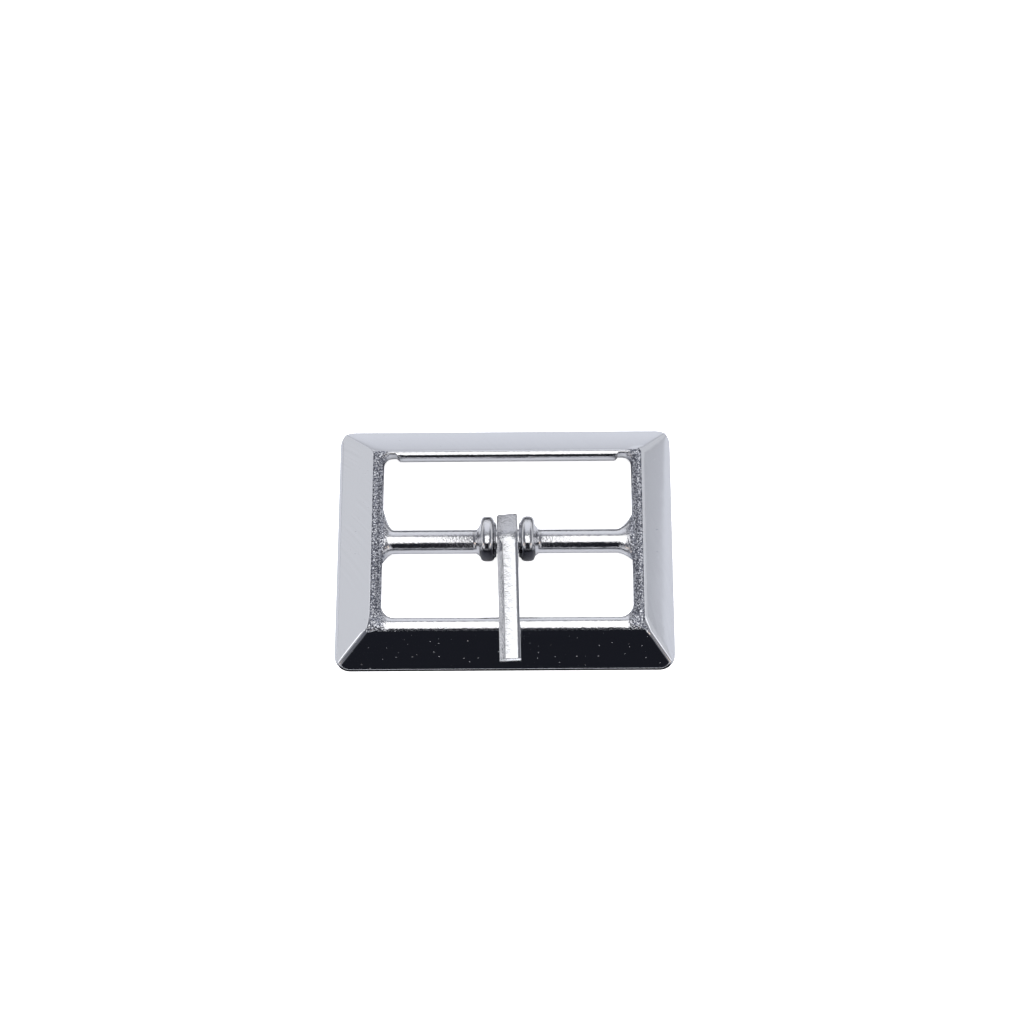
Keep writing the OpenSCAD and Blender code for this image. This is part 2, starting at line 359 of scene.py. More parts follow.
def quarter_outline(s, steps, right, back):
    """Stations from the middle of a side rail round to the middle of the front or back rail, for the
    quarter on the right or left (1 or -1) and at the back or front. A station is its point on the outer
    edge with the crest's drift there, and its point on the opening with 1 where the rail is the front
    one."""
    half_w, half_h = s.width / 2, s.height / 2
    open_x = half_w - s.rail + right * s.shift_x
    rib = s.rib_proud if back > 0 else 0
    plain_y = half_h - s.rail + rib + back * s.shift_y
    out_x, out_y = half_w - s.corner, half_h - s.corner
    radius = s.opening_corner if back > 0 else s.opening_front
    in_x, in_y = open_x - radius, plain_y - radius
    # The mitre's station meets the opening's corner where the 45 degree line crosses its arc.
    skew = (out_x - in_x - out_y + in_y) / 2
    reach = math.sqrt(radius**2 / 2 - skew**2)
    mitre_in = math.atan2(reach - skew, reach + skew)
    drift = -right * s.shift_x - s.side_out
    stations = []

    def station(out, into, turned):
        lift = drift * (1 - smooth(turned))
        front = smooth(turned) if back < 0 else 0
        stations.append(((right * out[0], back * out[1], lift), (right * into[0], back * into[1], front)))

    side = 10
    for i in range(side):
        station((half_w, out_y * i / side), (open_x, in_y * i / side), 0)
    for i in range(2 * steps + 1):
        t = i / steps
        out = math.pi / 4 * t
        into = mitre_in * t if t <= 1 else mitre_in + (math.pi / 2 - mitre_in) * (t - 1)
        station(
            (out_x + s.corner * math.cos(out), out_y + s.corner * math.sin(out)),
            (in_x + radius * math.cos(into), in_y + radius * math.sin(into)),
            t / 2,
        )
    rib_end = open_x - s.rib_inset
    ramp = 0.5 * MM
    last = min(rib_end, in_x - 0.2 * MM)
    xs = [rib_end + ramp * (1 - i / 8) for i in range(8)] if rib else []
    xs += [last * (1 - i / 14) for i in range(14)]
    for x in xs:
        rise = smooth(1 - (x - rib_end) / ramp)
        station((out_x * x / in_x, half_h), (x, plain_y - rib * rise), 1)
    station((0, half_h), (0, plain_y - rib), 1)
    return stations


def frame_outline(s, steps):
    """Stations all round the frame, from the middle of the right rail by way of the back."""
    back_right, back_left = (quarter_outline(s, steps, right, 1) for right in (1, -1))
    front_left, front_right = (quarter_outline(s, steps, right, -1) for right in (-1, 1))
    return back_right + back_left[-2::-1] + front_left[1:] + front_right[-2:0:-1]


def sweep_rails(s, shape, steps, finish):
    """Sweeps the rail's section round the outline, with the polished faces meeting in rounded mitres."""
    tree = GeometryTree(
        "Rails",
        {
            "Width": s.width, "Height": s.height, "Rim height": s.rim, "Slope": shape.tan,
            "Roll": s.roll, "Roll reach": s.roll_reach, "Mitre rounding": s.mitre,
            "Side shift": s.shift_x / shape.polish_u, "Side out": s.side_out / shape.polish_u,
        },
    )
    given = tree.given
    chosen = tree.math("GREATER_THAN", tree.split(tree.vector("share"))[0], -1.0)
    parts = tree.add(
        "GeometryNodeSeparateGeometry", {"Geometry": given["Geometry"], "Selection": chosen}, domain="POINT"
    )
    profile = tree.without(parts["Selection"], "outer", "inner")
    path = tree.without(parts["Inverted"], "share", "rise", "drift")
    section = tree.add("GeometryNodeMeshToCurve", {"Mesh": profile})["Curve"]
    outline = tree.add("GeometryNodeMeshToCurve", {"Mesh": path})["Curve"]
    swept = tree.add("GeometryNodeCurveToMesh", {"Curve": outline, "Profile Curve": section})["Mesh"]

    def insets(x, y):
        """Distances of a point in from the frame's side and from its front or back."""
        across = tree.math("SUBTRACT", tree.math("MULTIPLY", given["Width"], 0.5), tree.math("ABSOLUTE", x))
        along = tree.math("SUBTRACT", tree.math("MULTIPLY", given["Height"], 0.5), tree.math("ABSOLUTE", y))
        return across, along

    out_x, out_y, crest_drift = tree.split(tree.vector("outer"))
    in_x, in_y, is_front = tree.split(tree.vector("inner"))
    u_out = tree.math("MINIMUM", *insets(out_x, out_y))
    u_in = tree.math("MINIMUM", *insets(in_x, in_y))
    fixed, of_edge, of_opening = tree.split(tree.vector("share"))
    side_way, front_in, front_up = tree.split(tree.vector("drift"))
    drift = tree.math("MULTIPLY", side_way, crest_drift)
    drift = tree.math("ADD", drift, tree.math("MULTIPLY", front_in, is_front))
    u = tree.math("ADD", tree.math("MULTIPLY", of_edge, u_out), tree.math("MULTIPLY", of_opening, u_in))
    u = tree.math("ADD", tree.math("ADD", fixed, u), drift)
    part = tree.math("DIVIDE", tree.math("SUBTRACT", u, u_out), tree.math("SUBTRACT", u_in, u_out))
    x = tree.math("ADD", out_x, tree.math("MULTIPLY", tree.math("SUBTRACT", in_x, out_x), part))
    y = tree.math("ADD", out_y, tree.math("MULTIPLY", tree.math("SUBTRACT", in_y, out_y), part))
    # A face is steeper on the side that the opening has shifted towards, so that the crest stays level.
    across, along = insets(x, y)
    squeeze = tree.math("MULTIPLY", given["Side shift"], tree.math("SIGN", x))
    squeeze = tree.math("ADD", squeeze, given["Side out"])
    across = tree.math("DIVIDE", across, tree.math("SUBTRACT", 1.0, squeeze))
    least = tree.math("MINIMUM", across, along)
    face = tree.math("ADD", given["Rim height"], tree.math("MULTIPLY", given["Slope"], least))
    # The rolled edge dies away exponentially, and the mitre is the smooth minimum of its two faces.
    away = tree.math("EXPONENT",
                     tree.math("DIVIDE", tree.math("MULTIPLY", least, -1.0), given["Roll reach"]))
    gap = tree.math("ABSOLUTE", tree.math("SUBTRACT", across, along))
    square = tree.math("POWER", given["Mitre rounding"], 2.0)
    wide = tree.math("SQRT", tree.math("ADD", tree.math("MULTIPLY", gap, gap), square))
    dip = tree.math("MULTIPLY", tree.math("SUBTRACT", wide, gap), tree.math("MULTIPLY", given["Slope"], 0.5))
    softening = tree.math("ADD", tree.math("MULTIPLY", given["Roll"], away), dip)
    base, follows, softened = tree.split(tree.vector("rise"))
    z = tree.math("ADD", base, tree.math("MULTIPLY", follows, face))
    z = tree.math("ADD", z, tree.math("MULTIPLY", front_up, is_front))
    z = tree.math("SUBTRACT", z, tree.math("MULTIPLY", softened, softening))
    placed = tree.add("GeometryNodeSetPosition",
                      {"Geometry": swept, "Position": tree.join(x, y, z)})["Geometry"]
    tree.finish(placed)

    stations = frame_outline(s, steps)
    points = rail_section(s, shape)
    outer = [out for out, _ in stations]
    count, none = len(points), (-9, 0, 0)
    base = loops_mesh(
        "rails", [outer, [(i * MM, 0, 0) for i in range(count)]], True,
        {
            "outer": outer + [none] * count,
            "inner": [into for _, into in stations] + [none] * count,
            "share": [none] * len(stations) + [share for share, _, _ in points],
            "rise": [none] * len(stations) + [rise for _, rise, _ in points],
            "drift": [none] * len(stations) + [drift for _, _, drift in points],
        },
    )
    return tree.run(base, finish)


def bar_profile(s):
    """Stations from the middle of the gap between the collars out past the right collar, each as
    (x, top, bottom, back, front, lean), with the reaches measured from the bar's axis."""
    r, full = s.bar / 2, s.collar / 2
    face = s.collar_gap / 2
    hub_r = full * 0.76
    stations = [(x, r, r, r, r, 0) for x in (0.0, face * 0.5, face - 0.01 * MM)]

    def ring(x, radius):
        """A ring of a collar, off centre in proportion to how far it stands out of the bar."""
        off = (radius - r) / (full - r)
        up, back = s.collar_up * off, s.collar_back * off
        stations.append((x, radius + up, radius - up, radius + back, radius - back, s.collar_lean * off))

    for i in range(4):
        turn = math.pi / 2 * i / 3
        ring(face + 0.12 * MM * (1 - math.cos(turn)), hub_r - 0.12 * MM * (1 - math.sin(turn)))
    middle = face + s.hub + s.bead / 2
    turns = 22
    for i in range(turns + 1):
        a = math.radians(14 + (166 - 14) * i / turns)
        # A rounded drum: a circle's turn pushed out towards a square's.
        square = 2.0 / 2.8
        over = math.copysign(abs(math.cos(a)) ** square, math.cos(a))
        ring(middle - s.bead / 2 * over, hub_r * 0.97 + (full - hub_r * 0.97) * math.sin(a) ** square)
    start_x, start_r = middle + s.bead / 2 * 0.99, hub_r * 0.99
    for i in range(1, 7):
        t = i / 6
        radius = start_r + (r + 0.03 * MM - start_r) * t**0.85
        ring(start_x + s.cone * t, radius)
    end_x = stations[-1][0]
    # The cone runs out a little further along the top of the bar.
    for x, swell in ((0.1, 0.16), (0.22, 0.1), (0.36, 0.04), (0.5, 0.0)):
        stations.append((end_x + x * MM, r + swell * MM, r, r, r, 0))
    return stations


def bar_end_profile(s, shape, right):
    """Stations of a flared bar end, from the plain bar out to where it is buried under the slope, for the
    end on the right or left (1 or -1)."""
    r = s.bar / 2
    wall = s.width / 2 - s.rail + right * s.shift_x
    slope = shape.tan / (1 - (right * s.shift_x + s.side_out) / shape.polish_u)
    if right > 0:
        flare, to_back, to_front = s.flare_right, s.flare_right_back, s.flare_right_front
    else:
        flare, to_back, to_front = s.flare_left, s.flare_left_back, s.flare_left_front
    end = s.width / 2 - (shape.bar_z - r - s.rim + shape.wall_rise) / slope
    stations = []
    for i in range(15):
        t = i / 14
        bow = t**1.8
        stations.append((wall - flare * (1 - t), r, r, r + to_back * bow, r + to_front * bow, 0))
    for i in range(1, 13):
        t = i / 12
        x = wall + (end - wall) * t
        slope_top = s.rim + (s.width / 2 - x) * slope
        top = min(shape.crest_top, slope_top) - 0.45 * shape.wall_rise * smooth(t * 3) - shape.bar_z
        keep = 1 - smooth(t * 1.3)
        stations.append((x, min(r, top), r, r + to_back * keep, r + to_front * keep, 0))
    return stations


def turn_bar(s, shape, finish):
    """Turns the bar with its collars and flared ends round the bar's axis."""
    tree = GeometryTree("Bar", {"Axis height": shape.bar_z, "Segments": 72.0})
    given = tree.given
    path = tree.add("GeometryNodeMeshToCurve", {"Mesh": given["Geometry"]})["Curve"]
    count = tree.add("FunctionNodeFloatToInt", {"Float": given["Segments"]})["Integer"]
    ring = tree.add("GeometryNodeCurvePrimitiveCircle", {"Resolution": count, "Radius": 1.0},
                    mode="RADIUS")["Curve"]
    named = tree.add(
        "GeometryNodeStoreNamedAttribute",
        {"Geometry": ring, "Name": "turn", "Value": tree.add("GeometryNodeInputPosition")[0]},
        data_type="FLOAT_VECTOR",
    )["Geometry"]
    swept = tree.add("GeometryNodeCurveToMesh",
                     {"Curve": path, "Profile Curve": named, "Fill Caps": True})["Mesh"]
    cosine, sine, _ = tree.split(tree.vector("turn"))
    x, top, bottom = tree.split(tree.vector("up_down"))
    lean, back, front = tree.split(tree.vector("back_front"))

    def reach(direction, one_way, other_way):
        """How far the bar reaches along a direction, with its own size on each side of the axis."""
        ahead = tree.math("MULTIPLY", tree.math("MAXIMUM", direction, 0.0), one_way)
        behind = tree.math("MULTIPLY", tree.math("MINIMUM", direction, 0.0), other_way)
        return tree.math("ADD", ahead, behind)

    # A collar's top leans to the front of its middle.
    height = tree.math("MAXIMUM", sine, 0.0)
    leaning = tree.math("MULTIPLY", tree.math("MULTIPLY", height, height), lean)
    y = tree.math("SUBTRACT", reach(cosine, back, front), leaning)
    z = tree.math("ADD", reach(sine, top, bottom), given["Axis height"])
    placed = tree.add("GeometryNodeSetPosition",
                      {"Geometry": swept, "Position": tree.join(x, y, z)})["Geometry"]
    tree.finish(placed)

    collars = bar_profile(s)
    right = [(x + PIVOT.x, *rest) for x, *rest in collars] + bar_end_profile(s, shape, 1)
    left = [(-x + PIVOT.x, *rest) for x, *rest in collars[1:]]
    left += [(-x, *rest) for x, *rest in bar_end_profile(s, shape, -1)]
    stations = list(reversed(left)) + right
    base = loops_mesh(
        "bar", [[(i * MM, 0, 0) for i in range(len(stations))]], False,
        {
            "up_down": [(x, top, bottom) for x, top, bottom, _, _, _ in stations],
            "back_front": [(lean, back, front) for _, _, _, back, front, lean in stations],
        },
    )
    return tree.run(base, finish)


def outward(mesh):
    """Turns every face of a closed mesh outwards."""
    work = bmesh.new()
    work.from_mesh(mesh)
    bmesh.ops.recalc_face_normals(work, faces=work.faces)
    if work.calc_volume(signed=True) < 0:
        bmesh.ops.reverse_faces(work, faces=work.faces)
    work.to_mesh(mesh)
    work.free()


def new_piece(name, mesh, finish):
    mesh.name = name
    mesh.materials.clear()
    mesh.materials.append(finish)
    piece = bpy.data.objects.new(name, mesh)
    bpy.context.collection.objects.link(piece)
    return piece


def applied(piece):
    """Applies every modifier of a piece and returns the resulting mesh."""
    graph = bpy.context.evaluated_depsgraph_get()
    result = bpy.data.meshes.new_from_object(
        piece.evaluated_get(graph), preserve_all_data_layers=True, depsgraph=graph
    )
    old = piece.data
    piece.modifiers.clear()
    piece.data = result
    bpy.data.meshes.remove(old)
    return result


def shade(mesh, degrees):
    """Smooth shading with sharp edges above an angle."""
    mesh.polygons.foreach_set("use_smooth", [True] * len(mesh.polygons))
    work = bmesh.new()
    work.from_mesh(mesh)
    limit = math.radians(degrees)
    for edge in work.edges:
        edge.smooth = len(edge.link_faces) == 2 and edge.calc_face_angle(0.0) < limit
    work.to_mesh(mesh)
    work.free()


def mark_cast(mesh, s, shape):
    """Writes how each point was left, and where shade is painted. as_cast is 0 on the polished faces and 1
    where the metal is as it was cast, coarse is 1 where that metal is coarse, on the side rails' inner
    walls, whose plate also takes painted shade, and painted_shade is 1 on the collars' lower, forward-facing
    surfaces."""
    count = len(mesh.vertices)
    places = np.empty(count * 3, dtype=np.float32)
    normals = np.empty(count * 3, dtype=np.float32)
    mesh.vertices.foreach_get("co", places)
    mesh.vertices.foreach_get("normal", normals)
    x, y, z = places.reshape(-1, 3).T
    normals = normals.reshape(-1, 3)
    across = s.width / 2 - np.abs(x) + np.sign(x) * s.shift_x + s.side_out
    along = s.height / 2 - np.abs(y)
    is_front = (y < 0) & (along < across)
    polish_u = np.where(is_front, s.front_in - s.front_crest * shape.sin, shape.polish_u)
    past_crest = np.clip((np.minimum(across, along) - polish_u) / (0.25 * MM), 0, 1)
    under = np.clip(-normals[:, 2] * 4, 0, 1)
    long_rail = np.clip((across - s.rail - 0.3 * MM) / (0.8 * MM), 0, 1)
    from_bar = np.hypot(y, z - shape.bar_z)
    # painted_shade is painted shade: it blackens the plate where a collar's surface faces forward or down.
    shade_reach = 4.0 * MM
    off_bar = from_bar > s.bar / 2 + 0.1 * MM
    near_collar = (np.abs(x - PIVOT.x) < shade_reach) & off_bar & (np.abs(y) < s.collar)
    facing = np.degrees(np.arctan2(normals[:, 2], -normals[:, 1]))
    values = {
        "as_cast": np.maximum(past_crest, under),
        "coarse": 1 - long_rail,
        "painted_shade": near_collar * np.clip((38 - facing) / 12, 0, 1) * (facing > -120),
    }
    for name, value in values.items():
        layer = mesh.attributes.new(name, "FLOAT", "POINT")
        layer.data.foreach_set("value", value.astype(np.float32))


# ---------------------------------------------------------------- the prong


def prong_side(p, rest_z):
    """The prong's side view as one closed loop in (y, z), with the bore reached through the seam. Each
    point has a third number: 1 where the strip's facets are cut, fading to 0 at the head. The number of
    points on the outside, from the tip back round the head, comes second."""
    top = rest_z + p.thick
    head_y = p.bore + p.head_wall
    hook_y = -(p.bore + p.hook_wall)
    hook_z = PIVOT.z - p.bore - p.hook_wall
    tip_y = PRONG_TIP
    loop = []

    def line(ends, count, facet=0.0):
        (y0, z0), (y1, z1) = ends
        for i in range(count):
            t = i / count
            loop.append((y0 + (y1 - y0) * t, z0 + (z1 - z0) * t, facet))

    def rounded(corner, before, after, radius, steps=5):
        """A corner between two directions, as a quadratic arc."""
        c, a, b = Vector(corner), Vector(before).normalized(), Vector(after).normalized()
        first, last = c - a * radius, c + b * radius
        for i in range(steps + 1):
            t = i / steps
            q = first * (1 - t) ** 2 + c * (2 * t * (1 - t)) + last * t**2
            loop.append((q.x, q.y, 0.0))

    # Top of the strip, from the tip back to the bend.
    ramp = 4.0 * MM
    count = 44
    for i in range(count):
        y = tip_y + (p.bend - p.bend_round - tip_y) * i / count
        loop.append((y, top, smooth((p.bend - y) / ramp + 0.25)))
    slope = (math.cos(p.bend_angle), -math.sin(p.bend_angle))
    rounded((p.bend, top), (1, 0), slope, p.bend_round, 8)
    back_z = top - (head_y - p.bend) * math.tan(p.bend_angle)
    rounded((head_y, back_z), slope, (0, -1), 0.3 * MM, 5)
    rounded((head_y, hook_z), (0, -1), (-1, 0), 1.1 * MM, 8)
    outside = len(loop)
    rounded((hook_y, hook_z), (-1, 0), (0, 1), 0.8 * MM, 7)
    seam_low = rest_z - p.seam
    line([(hook_y, PIVOT.z), (hook_y, seam_low)], 3)
    # Into the bore along the seam's lower face, round the bore, and out along the strip's underside.
    low_angle = math.asin((seam_low - PIVOT.z) / p.bore)
    high_angle = math.asin(min((rest_z - PIVOT.z) / p.bore, 0.9995))
    low_y = -p.bore * math.cos(low_angle)
    line([(hook_y, seam_low), (low_y, seam_low)], 3)
    start, end = math.pi - low_angle, math.pi - high_angle + 2 * math.pi
    turns = 56
    for i in range(turns + 1):
        a = start + (end - start) * i / turns
        loop.append((p.bore * math.cos(a), PIVOT.z + p.bore * math.sin(a), 0.0))
    return loop, outside, top


PRONG_TIP = PRONG_LOW.y


def build_prong_mesh(p, rest_z):
    """Lofts the prong's side view across its width, with the long facets on its two upper edges."""
    loop, outside, top = prong_side(p, rest_z)
    # The strip's underside, from the bore forward to the tip, mirrors the stations of its top.
    under = [(y, rest_z, facet) for y, z,
             facet in reversed(loop) if abs(z - top) < 1e-9 and y < -p.bore * 0.35]
    loop = loop + [(y, z, 0.0) for y, z, _ in under]
    half = p.width / 2
    # Across the piece, as (x, drop) of the facets along the strip and (x, inset) of the round edges of the
    # head.
    across = [
        ((-half, p.facet_drop), (-half, p.edge)),
        ((-half + p.facet, 0), (-half + p.edge * 0.3, p.edge * 0.3)),
        ((-half + p.facet * 1.05, 0), (-half + p.edge, 0)),
        ((half - p.worn, 0), (half - p.edge, 0)),
        ((half - p.worn * 0.3, p.worn_drop * 0.3), (half - p.edge * 0.3, p.edge * 0.3)),
        ((half, p.worn_drop), (half, p.edge)),
    ]
    work = bmesh.new()
    layers = []
    for (x, drop), (head_x, inset) in across:
        ring = []
        for i, (y, z, facet) in enumerate(loop):
            place = head_x + (x - head_x) * facet
            back = y + p.skew * place * smooth((y - p.bend) / MM)
            inward = Vector((0, 0))
            if 0 < i < outside and facet < 1:
                run = Vector(loop[i + 1][:2]) - Vector(loop[i - 1][:2])
                inward = Vector((run.y, -run.x)).normalized() * inset * (1 - facet)
            ring.append(work.verts.new((place, back + inward.x, z + inward.y - drop * facet)))
        layers.append(ring)
    count = len(loop)
    for near, far in zip(layers, layers[1:]):
        for i in range(count):
            j = (i + 1) % count
            work.faces.new((near[i], near[j], far[j], far[i]))
    work.faces.new(layers[0])
    work.faces.new(reversed(layers[-1]))
    bmesh.ops.recalc_face_normals(work, faces=work.faces)
    mesh = bpy.data.meshes.new("prong")
    work.to_mesh(mesh)
    work.free()
    layer = mesh.attributes.new("battered_and_shaded", "FLOAT", "POINT")
    for i, vertex in enumerate(mesh.vertices):
        head = smooth((vertex.co.y - p.bend) / MM + 0.9)
        # The left facet takes 0.75 of the head's darker plate: painted shade on that side of the strip.
        left = smooth(1 - (vertex.co.x + half - p.facet) / (0.15 * MM))
        layer.data[i].value = max(head, 0.75 * left)
    return mesh


# ---------------------------------------------------------------- materials


class Shader:
    """A material under construction, read in the piece's own coordinates."""

    def __init__(self, name):
        self.material = bpy.data.materials.new(name)
        self.material.use_nodes = True
        self.tree = self.material.node_tree
        self.surface = self.tree.nodes["Principled BSDF"]
        self.place = self.add("ShaderNodeTexCoord")["Object"]

    def add(self, kind, feeds=None, **settings):
        node = self.tree.nodes.new(kind)
        for key, value in settings.items():
            setattr(node, key, value)
        for key, feed in (feeds or {}).items():
            if isinstance(feed, bpy.types.NodeSocket):
                self.tree.links.new(feed, node.inputs[key])
            else:
                node.inputs[key].default_value = feed
        return node.outputs

    def feed(self, name, socket):
        self.tree.links.new(socket, self.surface.inputs[name])

    def noise(self, size, detail=2.0, rough=0.5, place=None):
        """Noise whose blobs are about size metres across, from 0 to 1."""
        return self.add(
            "ShaderNodeTexNoise",
            {"Vector": place or self.place, "Scale": 1 / size, "Detail": detail, "Roughness": rough},
        )["Fac"]

    def math(self, operation, a, b=0.0, c=0.0):
        return self.add("ShaderNodeMath", {0: a, 1: b, 2: c}, operation=operation)[0]

    def ramp(self, value, low, high, to_low=0.0, to_high=1.0):
        return self.add(
            "ShaderNodeMapRange",
            {"Value": value, "From Min": low, "From Max": high, "To Min": to_low, "To Max": to_high},
            interpolation_type="SMOOTHSTEP",
        )["Result"]

    def mix(self, factor, a, b):
        return self.add("ShaderNodeMix", {"Factor": factor, "A": a, "B": b}, data_type="FLOAT")["Result"]

    def mix_colour(self, factor, a, b):
        node = self.tree.nodes.new("ShaderNodeMix")
        node.data_type = "RGBA"
        for key, feed in ((0, factor), (6, a), (7, b)):
            if isinstance(feed, bpy.types.NodeSocket):
                self.tree.links.new(feed, node.inputs[key])
            else:
                node.inputs[key].default_value = feed
        return node.outputs[2]

    def bump(self, height, distance, strength=1.0, over=None):
        feeds = {"Height": height, "Distance": distance, "Strength": strength}
        if over is not None:
            feeds["Normal"] = over
        return self.add("ShaderNodeBump", feeds)["Normal"]


def frame_plating(finish):
    """Bright nickel plate: mirror-polished faces, and grainy as-cast metal everywhere else."""
    m = Shader("frame_plating")
    marks = {name: m.add("ShaderNodeAttribute", attribute_name=name)["Fac"] for name in ("as_cast",
                                                                                         "coarse", "painted_shade")}
    ragged = m.noise(finish.grain * 1.2, 3.0, 0.65)
    cast = m.math("ADD", marks["as_cast"], m.math("MULTIPLY", m.math("SUBTRACT", ragged, 0.5), 1.1))
    cast = m.ramp(cast, 0.4, 0.6)
    coarse = m.math("MULTIPLY", cast, marks["coarse"])
    grain = m.noise(finish.grain, 1.5, 0.5)
    fine = m.noise(finish.grain * 0.9, 2.0, 0.6)
    waves = m.noise(2.2 * MM, 1.0, 0.4)
    cells = m.add("ShaderNodeTexVoronoi", {"Vector": m.place, "Scale": 1 / (0.62 * MM)}, feature="F1")
    chance, width, _ = m.add("ShaderNodeSeparateXYZ", {0: cells["Color"]})
    near = m.math("SUBTRACT", m.ramp(width, 0.0, 1.0, 0.05, 0.15), cells["Distance"])
    pits = m.math("MULTIPLY", m.ramp(near, 0.0, 0.08), m.ramp(chance, 0.55, 0.75))
    normal = m.bump(waves, 0.012 * MM, 0.6)
    normal = m.bump(m.math("MULTIPLY", pits, m.math("SUBTRACT", 1.0, cast)), 0.05 * MM, 1.0, normal)
    normal = m.bump(m.math("MULTIPLY", fine, cast), 0.026 * MM, 1.0, normal)
    normal = m.bump(m.math("MULTIPLY", grain, coarse), 0.16 * MM, 1.0, normal)
    m.feed("Normal", normal)
    # Faint arcs left by the polishing wheel.
    wheel_centre = (-62 * MM, -30 * MM, 0)
    arcs = m.add("ShaderNodeVectorMath", {0: m.place, 1: wheel_centre}, operation="DISTANCE")["Value"]
    arcs = m.add("ShaderNodeTexNoise", {"W": arcs, "Scale": 1 / (0.45 * MM), "Detail": 2.0},
                 noise_dimensions="1D")["Fac"]
    patches = m.ramp(m.noise(9 * MM, 1.0, 0.5), 0.4, 0.65)
    streak = m.math("MULTIPLY", m.math("SUBTRACT", arcs, 0.5), m.math("MULTIPLY", patches, 0.5))
    wheel = m.mix_colour(m.math("ADD", 0.5, streak), (*(c * 0.9 for c in finish.polished), 1),
                         (*(c * 1.1 for c in finish.polished), 1))
    plate = m.mix_colour(cast, wheel, (*finish.as_cast, 1))
    # The side rails' inner walls: random mottling of the coarse plate with a dark blue-grey, whose darkness
    # is painted shade on the opening's recessed walls.
    mottled_shade = m.mix_colour(m.ramp(m.noise(finish.grain * 0.8, 1.0, 0.5), 0.38, 0.6), (0.16, 0.17, 0.21, 1),
                           (*finish.coarse, 1))
    plate = m.mix_colour(coarse, plate, mottled_shade)
    # Painted shade: the plate turns near black on the collars' lower, forward-facing surfaces.
    m.feed("Base Color", m.mix_colour(marks["painted_shade"], plate, (*finish.painted_shade, 1)))
    m.feed("Roughness", m.mix(cast, 0.08, 0.13))
    m.surface.inputs["Metallic"].default_value = 1.0
    return m.material


def prong_plating(finish):
    """The same plate over a tumbled strip, with a fine grain all over."""
    m = Shader("prong_plating")
    battered_and_shaded = m.add("ShaderNodeAttribute", attribute_name="battered_and_shaded")["Fac"]
    grain = m.noise(0.2 * MM, 2.5, 0.6)
    dents = m.noise(0.8 * MM, 2.0, 0.5)
    normal = m.bump(m.math("MULTIPLY", dents, battered_and_shaded), 0.12 * MM, 0.8)
    normal = m.bump(m.math("MULTIPLY", grain, m.ramp(battered_and_shaded, 0.0, 1.0, 0.14, 1.0)), 0.035 * MM, 1.0,
                    normal)
    m.feed("Normal", normal)
    # The darker plate is wear on the head and painted shade on the left facet.
    m.feed("Base Color", m.mix_colour(battered_and_shaded, (*finish.polished, 1), (*finish.battered_and_shaded, 1)))
    m.feed("Roughness", m.ramp(dents, 0.35, 0.65, 0.13, 0.2))
    m.surface.inputs["Metallic"].default_value = 1.0
    return m.material


# ---------------------------------------------------------------- operators


class BUCKLE_OT_casting(bpy.types.Operator):
    """Builds the frame casting: mitred rails, hollow back, flared bar and collars in one piece"""

    bl_idname = "buckle.casting"
    bl_label = "Frame casting"

    def execute(self, context):
        s = context.scene.buckle_casting
        shape = RailShape(s)
        finish = frame_plating(context.scene.buckle_finish)
        rails = sweep_rails(s, shape, s.steps, finish)
        outward(rails)
        piece = new_piece("frame_casting", rails, finish)
        bar = turn_bar(s, shape, finish)
        outward(bar)
        cutter = new_piece("bar_and_collars", bar, finish)
        joined = piece.modifiers.new("Bar", "BOOLEAN")
        joined.operation = "UNION"
        joined.solver = "EXACT"
        joined.object = cutter
        mesh = applied(piece)
        bpy.data.objects.remove(cutter)
        shade(mesh, 38)
        mark_cast(mesh, s, shape)
        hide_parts("frame")
        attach(piece, "buckle_frame")
        return {"FINISHED"}


class BUCKLE_OT_prong(bpy.types.Operator):
    """Builds the prong: a faceted strip whose head is bent and crimped round the bar"""

    bl_idname = "buckle.prong"
    bl_label = "Prong"

    def execute(self, context):
        p = context.scene.buckle_prong
        mesh = build_prong_mesh(p, PRONG_HIGH.z - p.thick)
        mesh.transform(Matrix.Translation((PIVOT.x, 0, 0)) @ Matrix.Rotation(p.lean, 4, "Z"))
        finish = prong_plating(context.scene.buckle_finish)
        piece = new_piece("prong_strip", mesh, finish)
        bevel = piece.modifiers.new("Edges", "BEVEL")
        bevel.limit_method = "ANGLE"
        bevel.angle_limit = math.radians(32)
        bevel.width = p.edge
        bevel.segments = 3
        mesh = applied(piece)
        shade(mesh, 30)
        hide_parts("prong")
        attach(piece, "prong_body")
        return {"FINISHED"}


